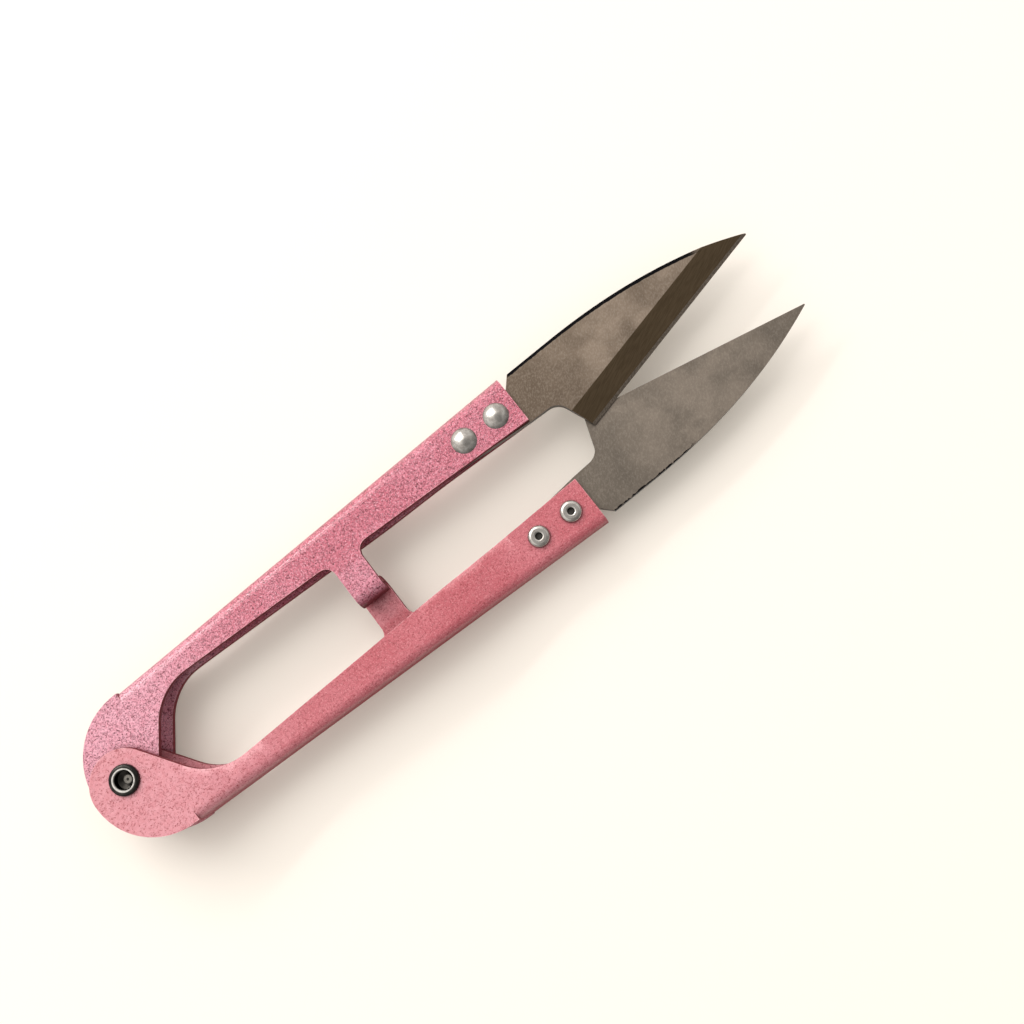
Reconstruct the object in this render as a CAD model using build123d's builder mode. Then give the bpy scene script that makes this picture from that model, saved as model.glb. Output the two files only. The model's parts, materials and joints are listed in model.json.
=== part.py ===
"""Thread snips: two sheet-steel handles on one pivot rivet, each carrying a riveted blade.

Millimetres. The origin is on the pivot axis, at the flat underside of the pivot rivet's head.
+X runs along the middle line towards the tips, +Y towards the upper half, +Z up.
The snips are drawn open, with the two stop tabs hooked together, as the spring holds them.
The lower half is the upper half turned over, half a turn about the middle line.
"""
from math import asin, atan2, cos, degrees, hypot, radians, sin
import os

from build123d import *

# --- sheet, blades and gaps -------------------------------------------------------------
sheet = 0.9                 # thickness of the handle's sheet steel
blade_thickness = 1.2
blade_gap = 0.2             # between the two flat blade sides
lobe_gap = 0.2              # between the pivot lobes of the two handles
part_gap = 0.25             # between other faces that pass each other
outer_bend = 1.4            # outside radius of the handle's long bends

# --- handle, seen from above ------------------------------------------------------------
handle_front = 65.8         # front end, from the pivot axis
ear_run = 0.5               # flat edge between the lobe's rounding and the outer wall
outer_rear_y = 9.4          # outer edge above the pivot
outer_front_y = 11.3
inner_rear_y = 6.4          # inner edge where the grip starts
inner_front_y = 4.6
grip_start = 13.0
throat_angle = 55.0         # direction of the edge that leaves the lobe
throat_radius = 7.6
lobe_radius = 4.4
lobe_x = -0.4               # middle of the lobe, a little behind and outside the pivot
lobe_y = 0.4

# --- handle, seen from the side ---------------------------------------------------------
rear_step_lead = 1.3        # flat floor ahead of the wall's rear end
rear_step_run = 10.0        # the floor then rises from the pivot lobe to the grip
front_step_run = 14.0       # and again from the grip to the blade's tang
tang_floor_lead = 0.8       # flat floor behind the tang

# --- stop tabs --------------------------------------------------------------------------
tab_start = 35.3
tab_width = 4.0
tab_bend = 1.8              # outside radius of the bend at the tab's end
tab_root_radius = 1.5

# --- rivets -----------------------------------------------------------------------------
rivet_inset = 2.9           # front rivet to the handle's front end
rivet_spacing = 5.0
rivet_y = 7.5
rivet_radius = 1.0
rivet_head_radius = 1.65
rivet_head_height = 0.75
rivet_tail_radius = 1.4
rivet_tail_height = 0.6
rivet_tail_bore = 0.4
rivet_tail_depth = 0.9

# --- blade, seen from above: lengths from the handle's front end, heights from the middle
tang_behind_rivet = 2.3     # rear end of the tang, behind the rear rivet
tang_rear_y = 5.2           # inner edge of the tang, rear
tang_front_y = 4.3          # inner edge where it leaves the handle
tang_play = 0.15            # between the tang's outer edge and the bend inside the handle
blade_lean = 1.1            # degrees that both blades lean to +Y in their handles
shoulder_run = 0.2          # straight run of the tang ahead of the handle
throat_run = 4.1            # corner of the blade's throat, before rounding
throat_fall = 0.2           # how far the throat's edge falls up to that corner
blade_throat_radius = 2.0
heel_run = 6.0
heel_y = -1.0
shoulder_spine_run = 1.5    # where the shoulder reaches the spine
spine_y = 10.85
spine_straight_run = 8.2    # where the straight spine starts to fall
spine_mid_run = 23.6        # a point on the falling spine
spine_mid_y = 9.45
tip_run = 36.2
tip_y = 5.75
tip_spine_angle = -22.0
tip_radius = 0.1

# --- blade's ground edge ----------------------------------------------------------------
bevel_width = 3.3
micro_width = 0.4
micro_height = 0.35         # height of the small outer bevel above the flat side
edge_land = 0.05            # what is left of the thickness at the cutting edge

# --- pivot rivet ------------------------------------------------------------------------
pivot_radius = 1.6
pivot_play = 0.05           # radial running fit of the upper handle on the shank
pivot_head_flange = 1.0     # how far the head stands out round the shank
pivot_head_height = 0.8
pivot_head_play = 0.1       # under the upper handle's bottom lobe
rim_flange = 0.35           # how far the rolled rim stands out round the shank
rim_height = 0.5
rim_bore_radius = 1.15
rim_mouth_flare = 0.15
rim_bore_depth = 1.4
rim_floor_radius = 0.62

# --- spring -----------------------------------------------------------------------------
wire_radius = 0.4
coil_play = 0.75            # between the shank and the inside of the coil
coil_pitch = 0.86
leg_reach = 13.0            # how far ahead of the pivot the legs end
leg_gap = 0.2               # between leg and wall

# --- heights, built up from the pivot rivet's head --------------------------------------
half_inside = blade_gap / 2 + blade_thickness
lobe_drop = sheet + lobe_gap
middle = pivot_head_height + pivot_head_play + lobe_drop + sheet + half_inside
roof_top = middle + half_inside + sheet
roof_under = middle + half_inside
floor_rear = middle - half_inside - sheet - lobe_drop
floor_grip = middle - half_inside - sheet
floor_front = middle + blade_gap / 2 - sheet
blade_bottom = middle + blade_gap / 2

rivet_front_x = handle_front - rivet_inset
rivet_rear_x = rivet_front_x - rivet_spacing
tang_rear = rivet_rear_x - tang_behind_rivet
front_step_end = tang_rear - tang_floor_lead
front_step_start = front_step_end - front_step_run
pivot_head_radius = pivot_radius + pivot_head_flange
rim_radius = pivot_radius + rim_flange
coil_radius = pivot_radius + coil_play + wire_radius
outer_slope = (outer_front_y - outer_rear_y) / handle_front
inner_slope = (inner_front_y - inner_rear_y) / (handle_front - grip_start)
lobe_back = (lobe_x - lobe_radius, lobe_y)
rear_corner_radius = outer_rear_y - lobe_y
ear = (lobe_back[0] + rear_corner_radius, outer_rear_y)
wall_start = ear[0] + ear_run
rear_step_start = wall_start + rear_step_lead
rear_step_end = rear_step_start + rear_step_run
half_turn_axis = Axis((0, 0, middle), (1, 0, 0))
beyond = 5.0                # how far cutting shapes run past what they cut


def outer_y(x):
    """Outer edge of the handle at x."""
    return outer_rear_y + outer_slope * x


def inner_y(x):
    """Straight inner edge of the grip at x."""
    return inner_rear_y + inner_slope * (x - grip_start)


def side_view(lift, roof, rear, front):
    """Side view of the channel: level roof, floor with two smooth steps, raised by lift."""
    with BuildSketch(Plane.XZ) as view:
        with BuildLine():
            lobe_floor = Line((rear, floor_rear + lift), (rear_step_start, floor_rear + lift))
            rear_step = Spline(
                lobe_floor @ 1,
                (rear_step_end, floor_grip + lift),
                tangents=((1, 0), (1, 0)),
            )
            grip_floor = Line(rear_step @ 1, (front_step_start, floor_grip + lift))
            front_step = Spline(
                grip_floor @ 1,
                (front_step_end, floor_front + lift),
                tangents=((1, 0), (1, 0)),
            )
            tang_floor = Line(front_step @ 1, (front, floor_front + lift))
            Polyline(tang_floor @ 1, (front, roof), (rear, roof), lobe_floor @ 0)
        make_face()
    return view.sketch


# --- outline of the sheet-steel handle --------------------------------------------------
lobe_tangent = (
    lobe_x + lobe_radius * sin(radians(throat_angle)),
    lobe_y - lobe_radius * cos(radians(throat_angle)),
)
edge_run = (inner_y(lobe_tangent[0]) - lobe_tangent[1]) / (
    sin(radians(throat_angle)) - inner_slope * cos(radians(throat_angle))
)
throat_corner = (
    lobe_tangent[0] + edge_run * cos(radians(throat_angle)),
    lobe_tangent[1] + edge_run * sin(radians(throat_angle)),
)
rear_corner_mid = (
    ear[0] - rear_corner_radius * cos(radians(45)),
    lobe_y + rear_corner_radius * sin(radians(45)),
)
lobe_mid_angle = radians((180 + throat_angle - 90 + 360) / 2)
lobe_mid = (
    lobe_x + lobe_radius * cos(lobe_mid_angle),
    lobe_y + lobe_radius * sin(lobe_mid_angle),
)

with BuildSketch() as handle_outline:
    with BuildLine():
        Polyline(
            lobe_tangent,
            throat_corner,
            (handle_front, inner_front_y),
            (handle_front, outer_front_y),
            ear,
        )
        ThreePointArc(ear, rear_corner_mid, lobe_back)
        ThreePointArc(lobe_back, lobe_mid, lobe_tangent)
    make_face()
    fillet(handle_outline.vertices().sort_by_distance(throat_corner)[0], throat_radius)

with BuildSketch() as lobe_outline:
    add(handle_outline.sketch)
    with Locations((wall_start, 0)):
        Rectangle(200, 60, align=(Align.MIN, Align.CENTER), mode=Mode.SUBTRACT)

# --- space inside the channel -----------------------------------------------------------
with BuildPart() as channel_space:
    with BuildSketch(Plane.XY.offset(floor_rear)):
        with BuildLine():
            Polyline(
                (wall_start - beyond, -beyond),
                (handle_front + beyond, -beyond),
                (handle_front + beyond, outer_y(handle_front + beyond) - sheet),
                (wall_start - beyond, outer_y(wall_start - beyond) - sheet),
                close=True,
            )
        make_face()
    extrude(amount=roof_top - floor_rear)
    extrude(
        side_view(sheet, roof_under, wall_start - 2 * beyond, handle_front + 2 * beyond),
        amount=4 * beyond,
        both=True,
        mode=Mode.INTERSECT,
    )
    space_wall = channel_space.faces().sort_by(Axis.Y)[-1]
    fillet(space_wall.edges().filter_by(Axis.Z, reverse=True)
           .filter_by(lambda edge: edge.length > 2 * sheet), outer_bend - sheet)

# --- upper handle -----------------------------------------------------------------------
with BuildPart() as upper_handle:
    with BuildSketch(Plane.XY.offset(floor_rear)):
        add(handle_outline.sketch)
        with Locations((wall_start, 0)):
            Rectangle(200, 60, align=(Align.MAX, Align.CENTER), mode=Mode.SUBTRACT)
    extrude(amount=roof_top - floor_rear)
    extrude(
        side_view(0, roof_top, -beyond, handle_front + beyond),
        amount=4 * beyond,
        both=True,
        mode=Mode.INTERSECT,
    )
    outer_wall = upper_handle.faces().sort_by(Axis.Y)[-1]
    fillet(outer_wall.edges().filter_by(Axis.Z, reverse=True), outer_bend)
    add(channel_space.part, mode=Mode.SUBTRACT)

    # flat lobes above and below the pivot
    for lobe_floor_z in (roof_under, floor_rear):
        with BuildSketch(Plane.XY.offset(lobe_floor_z)):
            add(lobe_outline.sketch)
        extrude(amount=sheet)

    # stop tab, bent down at its end
    tab_end_y = -part_gap / 2 - sheet
    tab_tip_z = middle - half_inside + tab_bend - sheet     # where the other tab's bend begins
    with BuildSketch(Plane.YZ.offset(tab_start)) as tab_view:
        with BuildLine():
            Polyline(
                (inner_y(tab_start + tab_width) + sheet, roof_top),
                (tab_end_y, roof_top),
                (tab_end_y, tab_tip_z),
                (tab_end_y + sheet, tab_tip_z),
                (tab_end_y + sheet, roof_under),
                (inner_y(tab_start + tab_width) + sheet, roof_under),
                close=True,
            )
        make_face()
        fillet(tab_view.vertices().sort_by_distance((tab_end_y, roof_top))[0], tab_bend)
        fillet(
            tab_view.vertices().sort_by_distance((tab_end_y + sheet, roof_under))[0],
            tab_bend - sheet,
        )
    extrude(amount=tab_width)
    for tab_side, corner_align in ((tab_start, Align.MAX), (tab_start + tab_width, Align.MIN)):
        with BuildSketch(Plane.XY.offset(roof_under)):
            root_y = inner_y(tab_side) + sheet / 2
            reach = tab_root_radius if corner_align == Align.MIN else -tab_root_radius
            with Locations((tab_side, root_y)):
                Rectangle(tab_root_radius, tab_root_radius + sheet / 2, align=(corner_align, Align.MAX))
            with Locations((tab_side + reach, inner_y(tab_side + reach) - tab_root_radius)):
                Circle(tab_root_radius, mode=Mode.SUBTRACT)
        extrude(amount=sheet)

    # holes for the pivot rivet and the blade's rivets
    with Locations((0, 0, middle)):
        Hole(pivot_radius + pivot_play)
    with Locations((rivet_rear_x, rivet_y, middle), (rivet_front_x, rivet_y, middle)):
        Hole(rivet_radius)
upper_handle.part.label = "upper_handle"

# --- lower handle: the same pressing, turned over ---------------------------------------
with BuildPart() as lower_handle:
    add(upper_handle.part.rotate(half_turn_axis, 180))
lower_handle.part.label = "lower_handle"

# --- blades -----------------------------------------------------------------------------
tang_outer_y = outer_y(tang_rear) - outer_bend - tang_play
heel = (handle_front + heel_run, heel_y)
tip = (handle_front + tip_run, tip_y)
throat_corner_point = (handle_front + throat_run, tang_front_y - throat_fall)
spine_straight_end = (handle_front + spine_straight_run, spine_y)
edge_angle = degrees(atan2(tip[1] - heel[1], tip[0] - heel[0]))
edge_across = Plane(
    origin=(*heel, blade_bottom),
    x_dir=(-sin(radians(edge_angle)), cos(radians(edge_angle)), 0),
    z_dir=(cos(radians(edge_angle)), sin(radians(edge_angle)), 0),
)
lean_axis = Axis(((rivet_rear_x + rivet_front_x) / 2, rivet_y, 0), (0, 0, 1))

with BuildPart() as straight_blade:
    with BuildSketch(Plane.XY.offset(blade_bottom)) as blade_outline:
        with BuildLine():
            Polyline(
                tip,
                heel,
                throat_corner_point,
                (handle_front, tang_front_y),
                (tang_rear, tang_rear_y),
                (tang_rear, tang_outer_y),
                (handle_front + shoulder_run, tang_outer_y),
                (handle_front + shoulder_spine_run, spine_y),
                spine_straight_end,
            )
            Spline(
                spine_straight_end,
                (handle_front + spine_mid_run, spine_mid_y),
                tip,
                tangents=((1, 0), (cos(radians(tip_spine_angle)), sin(radians(tip_spine_angle)))),
            )
        make_face()
        fillet(
            blade_outline.vertices().sort_by_distance(throat_corner_point)[0],
            blade_throat_radius,
        )
        fillet(blade_outline.vertices().sort_by_distance(tip)[0], tip_radius)
    extrude(amount=blade_thickness)
    # ground bevel and the small outer bevel, along the whole cutting edge
    with BuildSketch(edge_across):
        with BuildLine():
            Polyline(
                (bevel_width, blade_thickness),
                (micro_width, micro_height),
                (0, edge_land),
                (-beyond, edge_land),
                (-beyond, blade_thickness + beyond),
                (bevel_width, blade_thickness + beyond),
                close=True,
            )
        make_face()
    extrude(amount=tip_run, both=True, mode=Mode.SUBTRACT)

with BuildPart() as upper_blade:
    add(straight_blade.part.rotate(lean_axis, blade_lean))
    with Locations((rivet_rear_x, rivet_y, middle), (rivet_front_x, rivet_y, middle)):
        Hole(rivet_radius)
upper_blade.part.label = "upper_blade"

# the lower blade is the same blade turned over, so it leans the other way in its handle
with BuildPart() as lower_blade:
    add(straight_blade.part.rotate(lean_axis, -blade_lean).rotate(half_turn_axis, 180))
    with Locations((rivet_rear_x, -rivet_y, middle), (rivet_front_x, -rivet_y, middle)):
        Hole(rivet_radius)
lower_blade.part.label = "lower_blade"


# --- blade rivets: domed head above, clenched tubular tail below ------------------------
def blade_rivet(x):
    """One rivet through the upper handle and its blade, at x."""
    tail_end = floor_front - rivet_tail_height
    head_sphere = (rivet_head_radius**2 + rivet_head_height**2) / (2 * rivet_head_height)
    dome_middle = roof_top + rivet_head_height - head_sphere
    dome_angle = asin(rivet_head_radius / head_sphere) / 2
    with BuildPart() as rivet:
        with BuildSketch(Plane((x, rivet_y, 0), x_dir=(1, 0, 0), z_dir=(0, -1, 0))) as section:
            with BuildLine():
                Polyline(
                    (rivet_tail_bore, tail_end + rivet_tail_depth),
                    (rivet_tail_bore, tail_end),
                    (rivet_tail_radius, tail_end),
                    (rivet_tail_radius, floor_front),
                    (rivet_radius, floor_front),
                    (rivet_radius, roof_top),
                    (rivet_head_radius, roof_top),
                )
                ThreePointArc(
                    (rivet_head_radius, roof_top),
                    (head_sphere * sin(dome_angle), dome_middle + head_sphere * cos(dome_angle)),
                    (0, roof_top + rivet_head_height),
                )
                Polyline(
                    (0, roof_top + rivet_head_height),
                    (0, tail_end + rivet_tail_depth),
                    (rivet_tail_bore, tail_end + rivet_tail_depth),
                )
            make_face()
            tail_corner = (rivet_tail_radius, tail_end)
            fillet(section.vertices().sort_by_distance(tail_corner)[0], rivet_tail_height * 0.8)
            tail_mouth = (rivet_tail_bore, tail_end)
            fillet(section.vertices().sort_by_distance(tail_mouth)[0], rivet_tail_height * 0.4)
        revolve(axis=Axis((x, rivet_y, 0), (0, 0, 1)))
    return rivet.part


blade_rivets = []
for place, rivet_x in (("rear", rivet_rear_x), ("front", rivet_front_x)):
    upper_rivet = blade_rivet(rivet_x)
    upper_rivet.label = f"upper_{place}_rivet"
    lower_rivet = upper_rivet.rotate(half_turn_axis, 180)
    lower_rivet.label = f"lower_{place}_rivet"
    blade_rivets += [upper_rivet, lower_rivet]

# --- pivot rivet: flat head below, rolled rim and blind bore above ----------------------
stack_top = 2 * middle - floor_rear
rim_top = stack_top + rim_height
with BuildPart() as pivot_rivet:
    with BuildSketch(Plane.XZ) as pivot_section:
        with BuildLine():
            Polyline(
                (0, 0),
                (pivot_head_radius, 0),
                (pivot_head_radius, pivot_head_height),
                (pivot_radius, pivot_head_height),
                (pivot_radius, stack_top),
                (rim_radius, stack_top),
                (rim_radius, rim_top),
                (rim_bore_radius + rim_mouth_flare, rim_top),
                (rim_bore_radius, rim_top - rim_mouth_flare),
                (rim_bore_radius, rim_top - rim_bore_depth + (rim_bore_radius - rim_floor_radius) / 2),
                (rim_floor_radius, rim_top - rim_bore_depth),
                (0, rim_top - rim_bore_depth),
                close=True,
            )
        make_face()
        fillet(
            pivot_section.vertices().sort_by_distance((rim_radius, rim_top))[0],
            rim_height * 0.7,
        )
        fillet(
            pivot_section.vertices().sort_by_distance((pivot_head_radius, 0))[0],
            pivot_head_height * 0.6,
        )
    revolve(axis=Axis.Z)
pivot_rivet.part.label = "pivot_rivet"

# --- torsion spring: coil round the shank, one leg along the inside of each handle ------
leg_end_y = outer_y(leg_reach) - sheet - leg_gap - wire_radius
leg_angle = degrees(atan2(leg_end_y, leg_reach) - asin(coil_radius / hypot(leg_end_y, leg_reach)))
coil_turns = (360 + 180 - 2 * leg_angle) / 360
coil_height = coil_turns * coil_pitch
coil = Helix(
    pitch=coil_pitch,
    height=coil_height,
    radius=coil_radius,
    lefthand=True,
    center=(0, 0, middle - coil_height / 2),
).rotate(Axis.Z, 270 - leg_angle)
lower_leg_end = Vector(leg_reach, -leg_end_y, (coil @ 0).Z)
upper_leg_end = Vector(leg_reach, leg_end_y, (coil @ 1).Z)
with BuildPart() as torsion_spring:
    with BuildLine() as wire_line:
        Spline(lower_leg_end, coil @ 0, tangents=(coil @ 0 - lower_leg_end, coil % 0))
        add(coil)
        Spline(coil @ 1, upper_leg_end, tangents=(coil % 1, upper_leg_end - coil @ 1))
    with BuildSketch(Plane(origin=lower_leg_end, z_dir=coil @ 0 - lower_leg_end)):
        Circle(wire_radius)
    sweep(path=wire_line.line)
torsion_spring.part.label = "torsion_spring"

# --- files ------------------------------------------------------------------------------
os.makedirs("parts", exist_ok=True)
for builder in (
    upper_handle, lower_handle, upper_blade, lower_blade, pivot_rivet, torsion_spring,
):
    export_step(builder.part, f"parts/{builder.part.label}.step")
for rivet in blade_rivets:
    export_step(rivet, f"parts/{rivet.label}.step")
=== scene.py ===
"""Looks for the thread snips.

Painted handles, ground blades, plated rivets and a torsion spring, with the floor,
the camera and the light. Lengths are in millimetres unless a line says otherwise.
"""
import json
import math

import bpy
from mathutils import Matrix, Vector

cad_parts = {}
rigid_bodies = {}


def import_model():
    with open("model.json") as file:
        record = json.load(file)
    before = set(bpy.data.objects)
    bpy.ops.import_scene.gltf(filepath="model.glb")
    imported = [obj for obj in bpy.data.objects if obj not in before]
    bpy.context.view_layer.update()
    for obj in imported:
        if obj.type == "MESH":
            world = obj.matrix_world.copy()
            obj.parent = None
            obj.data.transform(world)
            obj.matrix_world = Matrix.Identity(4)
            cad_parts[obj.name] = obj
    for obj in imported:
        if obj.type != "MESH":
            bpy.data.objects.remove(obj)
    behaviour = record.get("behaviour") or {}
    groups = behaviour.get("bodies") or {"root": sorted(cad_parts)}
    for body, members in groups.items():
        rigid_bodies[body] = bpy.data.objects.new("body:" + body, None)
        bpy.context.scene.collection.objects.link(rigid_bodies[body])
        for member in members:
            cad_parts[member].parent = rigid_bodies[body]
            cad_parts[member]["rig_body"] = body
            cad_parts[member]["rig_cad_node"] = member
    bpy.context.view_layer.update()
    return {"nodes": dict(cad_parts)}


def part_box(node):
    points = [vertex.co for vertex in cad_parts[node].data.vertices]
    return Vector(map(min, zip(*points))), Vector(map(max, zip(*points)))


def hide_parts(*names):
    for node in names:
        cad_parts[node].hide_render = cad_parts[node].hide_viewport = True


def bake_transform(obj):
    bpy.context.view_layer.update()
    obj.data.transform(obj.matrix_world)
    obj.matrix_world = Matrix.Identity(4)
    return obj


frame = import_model()
MM = 0.001

# --- places along the object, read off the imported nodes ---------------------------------
handle_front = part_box("upper_handle")[1].x / MM
tip_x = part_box("upper_blade")[1].x / MM
rim_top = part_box("pivot_rivet")[1].z / MM


def rgb(r, g, b):
    return (r, g, b, 1.0)


def put_in_scene(thing):
    bpy.context.scene.collection.objects.link(thing)
    return thing


class Look:
    """One material: a Principled shader whose sockets are fed by values or by nodes."""

    def __init__(self, name, **constants):
        self.material = bpy.data.materials.new(name)
        self.material.use_nodes = True
        self.tree = self.material.node_tree
        self.shader = self.tree.nodes["Principled BSDF"]
        for socket, value in constants.items():
            self.shader.inputs[socket.replace("_", " ")].default_value = value
        metres = self.add("ShaderNodeTexCoord", out="Object")
        self.place = self.scaled(metres, (1 / MM,) * 3)
        self.x, self.y, self.z = self.node("ShaderNodeSeparateXYZ", {0: self.place}).outputs

    def node(self, kind, inputs, **settings):
        node = self.tree.nodes.new(kind)
        for key, value in settings.items():
            setattr(node, key, value)
        for key, value in inputs.items():
            self.feed(node.inputs[key], value)
        return node

    def add(self, kind, inputs=None, out=0, **settings):
        return self.node(kind, inputs or {}, **settings).outputs[out]

    def feed(self, socket, value):
        if isinstance(value, bpy.types.NodeSocket):
            self.tree.links.new(value, socket)
        else:
            socket.default_value = value

    def math(self, operation, a, b=0.0):
        return self.add("ShaderNodeMath", {0: a, 1: b}, operation=operation)

    def product(self, first, *others):
        for other in others:
            first = self.math("MULTIPLY", first, other)
        return first

    def scaled(self, vector, factors):
        return self.add("ShaderNodeVectorMath", {0: vector, 1: factors}, operation="MULTIPLY")

    def ramp(self, value, low, high, start=0.0, end=1.0):
        """From start to end, smoothly, as value goes from low to high. low may be the larger."""
        return self.add("ShaderNodeMapRange", {
            "Value": value, "From Min": low, "From Max": high, "To Min": start, "To Max": end,
        }, interpolation_type="SMOOTHSTEP")

    def mix(self, share, first, second):
        """The first colour, with a share of the second."""
        return self.add("ShaderNodeMix", {0: share, 6: first, 7: second}, out=2, data_type="RGBA")

    def noise(self, scale, detail, roughness, place=None, distortion=0.0):
        """Noise with about scale bumps per millimetre."""
        return self.add("ShaderNodeTexNoise", {
            "Vector": place or self.place, "Scale": scale, "Detail": detail,
            "Roughness": roughness, "Distortion": distortion,
        })

    def stretched(self, factors, turn):
        """Coordinates turned about Z by turn degrees, then scaled, for streaks."""
        turned = self.add("ShaderNodeVectorRotate", {
            "Vector": self.place, "Angle": math.radians(turn),
        }, rotation_type="Z_AXIS")
        return self.scaled(turned, factors)

    def bump(self, height, depth, strength):
        return self.add("ShaderNodeBump", {
            "Height": height, "Distance": depth * MM, "Strength": strength,
        })

    def level(self, normal):
        """1 on level faces, 0 on upright ones. It stays so as a half turns on its pivot."""
        facing = self.add("ShaderNodeNewGeometry", out=normal)
        up_share = self.node("ShaderNodeSeparateXYZ", {0: facing}).outputs[2]
        return self.math("ABSOLUTE", up_share)

    def edge_closeness(self, reach):
        """0 on flat faces, towards 1 within reach of an edge."""
        rounded = self.add("ShaderNodeBevel", {"Radius": reach * MM}, samples=6)
        face = self.add("ShaderNodeNewGeometry", out="Normal")
        agreement = self.add("ShaderNodeVectorMath", {0: rounded, 1: face},
                             out="Value", operation="DOT_PRODUCT")
        return self.ramp(agreement, 0.995, 0.86)

    def openness(self, reach):
        """1 in the open, lower where other faces lie within reach."""
        return self.add("ShaderNodeAmbientOcclusion", {"Distance": reach * MM},
                        out="AO", samples=8)

    def finish(self, colour, roughness=None, normal=None):
        for socket, value in (("Base Color", colour), ("Roughness", roughness), ("Normal", normal)):
            if value is not None:
                self.feed(self.shader.inputs[socket], value)
        return self.material


SAME_POINT = 0.0005                # points closer than this are one before edges are rounded
SHARP_EDGE = math.radians(40)      # edges that turn by more than this are rounded


def dress(node, material, edge=0.0):
    """Puts one material on a CAD node, and rounds its sharp edges by edge millimetres."""
    piece = frame["nodes"][node]
    for slot in piece.material_slots:
        slot.link = "OBJECT"
        slot.material = material
    if edge:
        weld = piece.modifiers.new("weld", "WELD")
        weld.merge_threshold = SAME_POINT * MM
        rounding = piece.modifiers.new("rounding", "BEVEL")
        rounding.width = edge * MM
        rounding.segments = 2
        rounding.limit_method = "ANGLE"
        rounding.angle_limit = SHARP_EDGE
        rounding.harden_normals = True


# --- handle paint: stippled powder coat with dark specks --------------------------------
HANDLE_EDGE = 0.14
LOBE_END, GRIP_START = 4.0, 26.0         # along X, from the lobe's tone to the grip's
TAB_REAR, TAB_FULL = 25.0, 32.0          # along X, where the paler tone by the tab fades in
TAB_OUTSIDE, TAB_INSIDE = 4.4, 3.4       # from the middle line, where that tone ends
WALL_INSIDE, WALL_OUTSIDE = 7.6, 8.8     # from the middle line, inner walls and outer wall
WORN_PAINT_AND_EDGE_HIGHLIGHT = rgb(0.92, 0.56, 0.58)       # thin paint along edges, also a painted edge highlight
WALL_SHADE_PAINT = rgb(0.15, 0.010, 0.016)     # painted shade on upright faces
HOLLOW_SHADE_PAINT = rgb(0.13, 0.012, 0.016)   # painted shade on faces with others close by


def handle_paint(name, lobe_tone, grip_tone, dark_tone, light_tone, speck_share):
    """Pink powder coat, paler on the lobe than along the grip, partly as painted light where the
    lobe catches more light; with painted shade on walls and in hollows.

    dark_tone is for the specks, light_tone for the grains between them, and a higher
    speck_share makes more of both.
    """
    look = Look(name, Specular_IOR_Level=0.25, Coat_Roughness=0.12)
    level = look.level("Normal")
    upright = look.ramp(level, 0.90, 0.20)
    from_middle = look.math("ABSOLUTE", look.y)

    # broad tone: lobe, grip, the place by the tab, soft clouds and mottling; the paler lobe is
    # partly painted light
    tone = look.mix(look.ramp(look.x, LOBE_END, GRIP_START), lobe_tone, grip_tone)
    by_tab = look.product(
        look.ramp(from_middle, TAB_OUTSIDE, TAB_INSIDE),
        look.ramp(look.x, TAB_REAR, TAB_FULL, end=0.42),
    )
    tone = look.mix(by_tab, tone, lobe_tone)
    cloud = look.noise(scale=0.12, detail=3.0, roughness=0.6)
    tone = look.mix(look.ramp(cloud, 0.36, 0.66, 0.06, 0.28), tone, lobe_tone)
    mottle = look.noise(scale=1.3, detail=4.0, roughness=0.65)
    tone = look.mix(look.ramp(mottle, 0.38, 0.66, end=0.30), tone, grip_tone)

    # dark specks: short pieces of winding lines, and small pits; light grains between them
    winding = look.noise(scale=3.0, detail=2.0, roughness=0.55, distortion=1.3)
    line = look.ramp(look.math("ABSOLUTE", look.math("SUBTRACT", winding, 0.5)), 0.050, 0.012)
    gaps = look.noise(scale=3.0, detail=2.0, roughness=0.5)
    broken = look.ramp(gaps, 0.53 - speck_share, 0.60 - speck_share)
    pit_level = speck_share * 0.4
    pits = look.ramp(look.noise(scale=4.2, detail=1.0, roughness=0.4),
                     0.29 + pit_level, 0.24 + pit_level)
    dark = look.math("MAXIMUM", look.product(line, broken, 0.95), pits)
    grain = look.noise(scale=5.6, detail=3.0, roughness=0.7, distortion=0.5)
    light = look.ramp(grain, 0.48, 0.64, end=0.30 + speck_share * 1.5)
    tone = look.mix(dark, look.mix(light, tone, light_tone), dark_tone)

    # paint worn thin along the edges, together with a painted edge highlight; then painted shade on
    # walls and in hollows
    patches = look.noise(scale=1.1, detail=3.0, roughness=0.6)
    # edges lightened: partly worn paint, partly a painted highlight
    worn = look.product(look.edge_closeness(0.2), look.ramp(patches, 0.40, 0.62, 0.05, 0.6))
    tone = look.mix(worn, tone, WORN_PAINT_AND_EDGE_HIGHLIGHT)
    # painted shade: upright faces, most on the inner walls, darkened towards deep red
    wall = look.product(upright, look.ramp(from_middle, WALL_INSIDE, WALL_OUTSIDE, 0.90, 0.62))
    tone = look.mix(wall, tone, WALL_SHADE_PAINT)
    # painted shade in hollows, where other faces lie within 3 mm
    tone = look.mix(look.ramp(look.openness(3.0), 0.72, 0.30, end=0.92), tone, HOLLOW_SHADE_PAINT)

    height = look.math("SUBTRACT", look.product(grain, 0.5), dark)
    roughness = look.math("MAXIMUM", look.ramp(mottle, 0.3, 0.7, 0.42, 0.56),
                          look.product(upright, 0.9))
    look.feed(look.shader.inputs["Coat Weight"], look.ramp(level, 0.05, 0.45, end=0.7))
    return look.finish(tone, roughness, look.bump(height, depth=0.03, strength=0.6))


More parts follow.
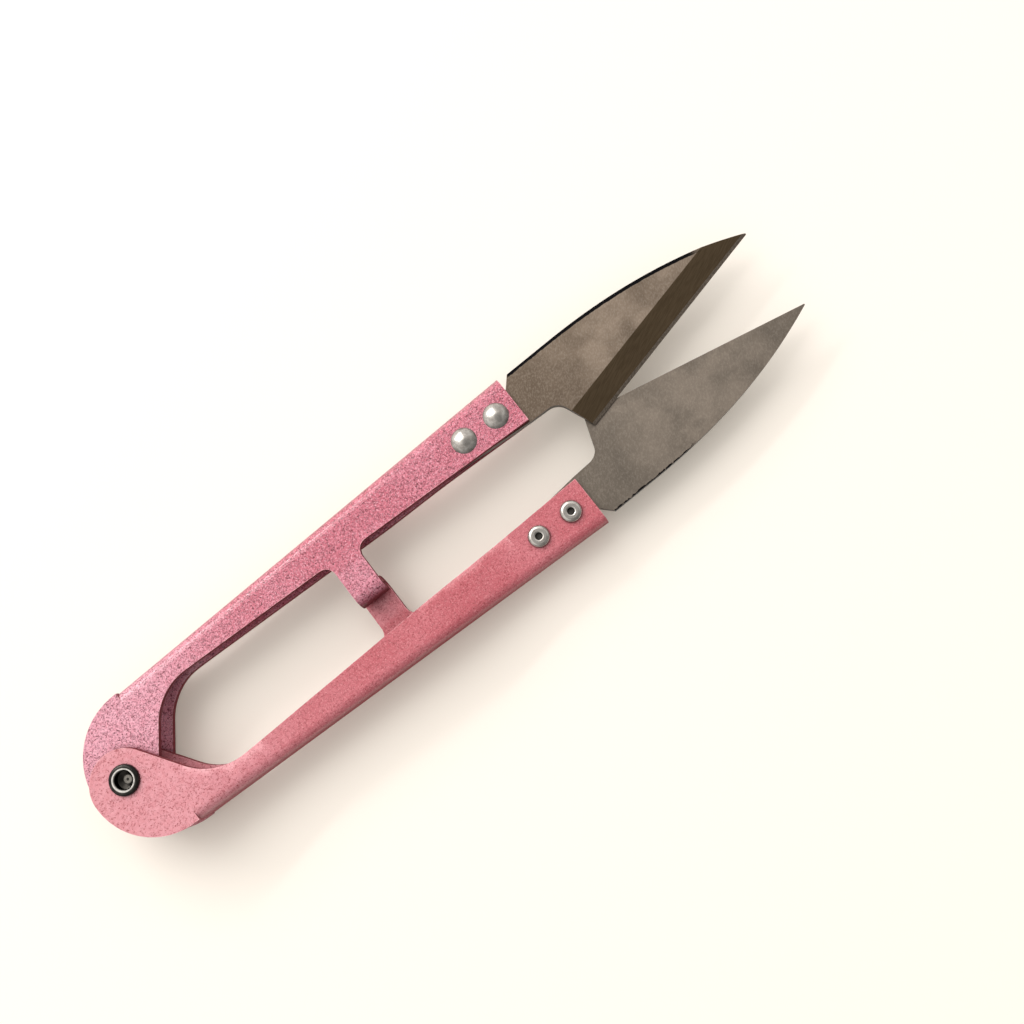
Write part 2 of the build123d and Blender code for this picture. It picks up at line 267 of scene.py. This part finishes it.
dress("upper_handle", handle_paint(
    "upper_paint", lobe_tone=rgb(0.67, 0.30, 0.385), grip_tone=rgb(0.505, 0.108, 0.160),
    dark_tone=rgb(0.10, 0.008, 0.020), light_tone=rgb(0.92, 0.54, 0.64), speck_share=0.11,
), edge=HANDLE_EDGE)
dress("lower_handle", handle_paint(
    "lower_paint", lobe_tone=rgb(0.62, 0.26, 0.30), grip_tone=rgb(0.45, 0.088, 0.112),
    dark_tone=rgb(0.30, 0.05, 0.06), light_tone=rgb(0.80, 0.36, 0.39), speck_share=0.04,
), edge=HANDLE_EDGE)

# --- blade steel: rolled flat face, ground bevel, honed outer bevel, black spine band - ----
SPINE_START = handle_front + 1.2         # the spine is traced from here on, past the shoulder
CURVE_TOP = 12.0                         # the distance that the top of a float curve stands for
STEEL_GRAIN = rgb(0.50, 0.44, 0.37)
GROUND_STEEL = rgb(0.098, 0.069, 0.041), rgb(0.130, 0.094, 0.058)
HONED_STEEL = rgb(0.18, 0.15, 0.12), rgb(0.30, 0.25, 0.205)
SIDE_STEEL = rgb(0.06, 0.05, 0.04), rgb(0.11, 0.09, 0.075)
SPINE_BLACK = rgb(0.006, 0.006, 0.007)


def spine_points(node, side):
    """Points along a blade's spine past its shoulder: the outer hull of its corners."""
    corners = {(v.co.x / MM, side * v.co.y / MM) for v in frame["nodes"][node].data.vertices}
    hull = []
    for x, y in sorted(corner for corner in corners if corner[0] > SPINE_START):
        while len(hull) > 1:
            (ax, ay), (bx, by) = hull[-2:]
            if (bx - ax) * (y - ay) < (by - ay) * (x - ax):
                break
            hull.pop()
        hull.append((x, y))
    return hull


def below_spine(look, node, side):
    """How far a place lies inside the spine, from a curve through the spine's own points."""
    points = spine_points(node, side)
    first, last = points[0][0], points[-1][0]
    curve = look.node("ShaderNodeFloatCurve", {1: look.add("ShaderNodeMapRange", {
        "Value": look.x, "From Min": first, "From Max": last,
    })})
    line = curve.mapping.curves[0]
    for x, y in points[1:-1]:
        line.points.new((x - first) / (last - first), y / CURVE_TOP)
    line.points[0].location = (0.0, points[0][1] / CURVE_TOP)
    line.points[len(points) - 1].location = (1.0, points[-1][1] / CURVE_TOP)
    curve.mapping.update()
    spine = look.product(curve.outputs[0], CURVE_TOP)
    return look.math("SUBTRACT", spine, look.product(look.y, float(side)))


def blade_steel(name, node, side, dull, bright, band, broken, band_end):
    """Satin steel with a black band along the spine.

    side is +1 for the upper blade and -1 for the lower. band is the black band's width,
    broken how much of it is left out in patches, band_end the X where it stops.
    """
    look = Look(name, Metallic=1.0)
    level = look.level("True Normal")
    sloped = look.ramp(level, 0.985, 0.970)
    steep = look.ramp(level, 0.90, 0.86)
    rim = look.ramp(level, 0.6, 0.4)

    # the flat face: clouds, duller by the handle and by the tip, with a light grain
    cloud = look.noise(scale=0.20, detail=4.0, roughness=0.6)
    rolled = look.mix(look.ramp(cloud, 0.34, 0.64), dull, bright)
    rolled = look.mix(0.35, rolled, bright)
    near_ends = look.math(
        "MAXIMUM",
        look.ramp(look.x, handle_front + 14.0, handle_front + 2.0, end=0.85),
        look.ramp(look.x, tip_x - 13.0, tip_x, end=0.8),
    )
    shaded = look.mix(near_ends, rolled, dull)
    grain = look.noise(scale=5.5, detail=3.0, roughness=0.7,
                       place=look.stretched((1.0, 0.55, 1.0), turn=35.0))
    flat = look.mix(look.ramp(grain, 0.42, 0.68, end=0.16), shaded, STEEL_GRAIN)

    # the ground bevel with its faint lines, the honed bevel at the edge, and the sides
    lines = look.noise(scale=5.0, detail=2.0, roughness=0.6,
                       place=look.stretched((0.12, 1.6, 1.0), turn=-24.0))
    speckle = look.ramp(grain, 0.4, 0.65)
    tone = look.mix(sloped, flat, look.mix(look.ramp(lines, 0.30, 0.70), *GROUND_STEEL))
    tone = look.mix(steep, tone, look.mix(speckle, *HONED_STEEL))
    tone = look.mix(rim, tone, look.mix(speckle, *SIDE_STEEL))

    # the black band, ragged on its inner side and left out in patches
    width = look.ramp(look.x, handle_front, handle_front + 20.0, band * 0.8, band)
    wander = look.math("SUBTRACT", look.noise(scale=1.6, detail=3.0, roughness=0.7), 0.5)
    depth = look.math("ADD", below_spine(look, node, side), look.product(wander, 0.25 + broken))
    inside = look.ramp(look.math("SUBTRACT", depth, width), 0.03, -0.03)
    behind_end = look.ramp(look.x, band_end, band_end - 2.0)
    past_shoulder = look.ramp(look.x, handle_front + 0.9, handle_front + 1.6)
    patches = look.noise(scale=1.1, detail=3.0, roughness=0.7)
    kept = look.ramp(patches, broken * 0.9 - 0.1, broken * 0.9)
    tone = look.mix(look.product(inside, behind_end, past_shoulder, kept), tone, SPINE_BLACK)

    roughness = look.ramp(cloud, 0.3, 0.7, 0.38, 0.46)
    height = look.math("ADD", look.noise(scale=9.0, detail=2.0, roughness=0.6),
                       look.product(lines, sloped))
    return look.finish(tone, roughness, look.bump(height, depth=0.01, strength=0.35))


dress("upper_blade", blade_steel(
    "upper_steel", "upper_blade", side=1,
    dull=rgb(0.106, 0.079, 0.058), bright=rgb(0.24, 0.19, 0.148),
    band=0.46, broken=0.0, band_end=tip_x - 5.6,
))
dress("lower_blade", blade_steel(
    "lower_steel", "lower_blade", side=-1,
    dull=rgb(0.140, 0.120, 0.100), bright=rgb(0.232, 0.196, 0.162),
    band=0.20, broken=0.50, band_end=handle_front + 15.0,
))

# --- rivets -----------------------------------------------------------------------------
RIM_SHADOW = rgb(0.03, 0.028, 0.025)     # where a rivet meets the piece below it
RING_BLUR = 0.06                         # a worn ring fades in and out over twice this
HEIGHT_BLUR = 0.05


def plating(name, base, dull, roughness, rings=()):
    """Plated metal with a soft cloud.

    rings are worn bands round the pivot's axis: inner radius, outer radius, lowest z, colour.
    """
    look = Look(name, Metallic=1.0)
    cloud = look.noise(scale=1.2, detail=3.0, roughness=0.6)
    tone = look.mix(look.ramp(cloud, 0.4, 0.65), base, dull)
    tone = look.mix(look.ramp(look.openness(0.8), 0.97, 0.68, end=0.88), tone, RIM_SHADOW)
    radius = look.math("SQRT", look.math(
        "ADD", look.product(look.x, look.x), look.product(look.y, look.y)))
    for inner, outer, lowest, worn in rings:
        share = look.product(
            look.ramp(radius, inner - RING_BLUR, inner + RING_BLUR),
            look.ramp(radius, outer + RING_BLUR, outer - RING_BLUR),
            look.ramp(look.z, lowest - HEIGHT_BLUR, lowest + HEIGHT_BLUR),
            look.ramp(look.noise(scale=2.5, detail=3.0, roughness=0.6), 0.25, 0.55, 0.6, 1.0),
        )
        tone = look.mix(share, tone, worn)
    fine = look.noise(scale=6.0, detail=2.0, roughness=0.6)
    return look.finish(tone, look.ramp(cloud, 0.3, 0.7, roughness, roughness + 0.12),
                       look.bump(fine, depth=0.01, strength=0.25))


nickel = plating("rivet_nickel", base=rgb(0.48, 0.46, 0.435), dull=rgb(0.30, 0.28, 0.26),
                 roughness=0.18)
for rivet in ("upper_rear_rivet", "upper_front_rivet", "lower_rear_rivet", "lower_front_rivet"):
    dress(rivet, nickel)

rolled_rim = (1.22, 1.45, rim_top - 0.4, rgb(0.62, 0.60, 0.57))
well_floor = (0.18, 0.50, rim_top - 2.0, rgb(0.20, 0.19, 0.17))
dress("pivot_rivet", plating(
    "black_nickel", base=rgb(0.020, 0.019, 0.018), dull=rgb(0.04, 0.037, 0.034),
    roughness=0.16, rings=(rolled_rim, well_floor),
))

# --- torsion spring: one wire between the two halves ------------------------------------
wire = frame["nodes"]["torsion_spring"].copy()
wire.data = wire.data.copy()
wire.name = "spring_wire"
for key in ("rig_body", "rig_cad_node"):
    del wire[key]
wire.parent = None
put_in_scene(wire)
wire.data.materials.clear()
wire.data.materials.append(plating(
    "spring_steel", base=rgb(0.28, 0.26, 0.25), dull=rgb(0.18, 0.17, 0.16), roughness=0.3,
))
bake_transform(wire)
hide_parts("torsion_spring")

# --- floor: a card that gives off a little light, so that shadows on it stay pale --------
floor_mesh = bpy.data.meshes.new("floor")
reach = 3.0                              # metres
corners = [(-reach, -reach, 0), (reach, -reach, 0), (reach, reach, 0), (-reach, reach, 0)]
floor_mesh.from_pydata(corners, [], [(0, 1, 2, 3)])
floor = put_in_scene(bpy.data.objects.new("floor", floor_mesh))
card = Look("floor_card", Roughness=0.9, Specular_IOR_Level=0.1, Emission_Strength=0.17)
card.feed(card.shader.inputs["Emission Color"], rgb(1.0, 0.90, 0.75))
floor_mesh.materials.append(card.finish(rgb(0.735, 0.70, 0.655)))

# --- camera -----------------------------------------------------------------------------
SENSOR = 36.0
PICTURE_PIXELS, FOCAL_PIXELS = 1024, 1132
camera_place = Vector((56.4, -23.3, 143.4)) * MM
roll, pitch, yaw = math.radians(-38.36), math.radians(-6.74), math.radians(-4.92)

camera = put_in_scene(bpy.data.objects.new("camera", bpy.data.cameras.new("camera")))
camera.data.sensor_width = SENSOR
camera.data.lens = SENSOR * FOCAL_PIXELS / PICTURE_PIXELS
camera.data.clip_start = 0.005
aim = (Matrix.Rotation(roll, 4, "Z") @ Matrix.Rotation(-pitch, 4, "X")
       @ Matrix.Rotation(-yaw, 4, "Y"))
camera.matrix_world = Matrix.Translation(camera_place) @ aim
bpy.context.scene.camera = camera

# --- light: directions are given as the camera at rest sees them ------------------------
centre = Vector((50, 0, 4)) * MM
right, up, back = (aim.to_3x3() @ Vector(axis) for axis in ((1, 0, 0), (0, 1, 0), (0, 0, 1)))
KEY_SIDE = (-1.05, 0.9, 1.0)
STRIP_SIDE = (-1.7, 1.5, 1.0)
OVERHEAD = (0.15, 0.0, 1.0)


def away(direction):
    """The unit vector for a direction given as right, up and back."""
    return (right * direction[0] + up * direction[1] + back * direction[2]).normalized()


def lamp(name, direction, width, length, power, colour, distance=0.6):
    """A soft box that faces the middle of the snips. Its sizes and distance are in metres."""
    data = bpy.data.lights.new(name, "AREA")
    data.shape = "RECTANGLE"
    data.size = length
    data.size_y = width
    data.energy = power
    data.color = colour
    box = put_in_scene(bpy.data.objects.new(name, data))
    box.location = centre + away(direction) * distance
    box.rotation_euler = away(direction).to_track_quat("Z", "Y").to_euler()


lamp("key", KEY_SIDE, width=0.5, length=0.5, power=2.2, colour=(1.0, 0.97, 0.93))
lamp("upper_strip", STRIP_SIDE, width=0.03, length=0.5, power=0.8, colour=(1.0, 0.98, 0.95))

# the studio round it: brighter towards the key light, darker overhead
world = bpy.data.worlds.new("studio")
bpy.context.scene.world = world
world.use_nodes = True
nodes, links = world.node_tree.nodes, world.node_tree.links
sky = nodes.new("ShaderNodeTexCoord").outputs["Generated"]


def glow(direction, low, high, start, end):
    """Strength from start to end as the view turns towards direction, between two cosines."""
    toward = nodes.new("ShaderNodeVectorMath")
    toward.operation = "DOT_PRODUCT"
    toward.inputs[1].default_value = away(direction)
    links.new(sky, toward.inputs[0])
    scale = nodes.new("ShaderNodeMapRange")
    scale.interpolation_type = "SMOOTHSTEP"
    for socket, value in zip(("From Min", "From Max", "To Min", "To Max"),
                             (low, high, start, end)):
        scale.inputs[socket].default_value = value
    links.new(toward.outputs["Value"], scale.inputs["Value"])
    return scale.outputs[0]


strength = nodes.new("ShaderNodeMath")
strength.operation = "MULTIPLY"
links.new(glow(KEY_SIDE, low=-0.5, high=0.95, start=0.30, end=1.39), strength.inputs[0])
links.new(glow(OVERHEAD, low=0.80, high=0.96, start=1.0, end=0.40), strength.inputs[1])
backdrop = nodes["Background"]
backdrop.inputs["Color"].default_value = rgb(1.0, 0.965, 0.925)
links.new(strength.outputs[0], backdrop.inputs["Strength"])
bpy.context.scene.view_settings.view_transform = "Standard"
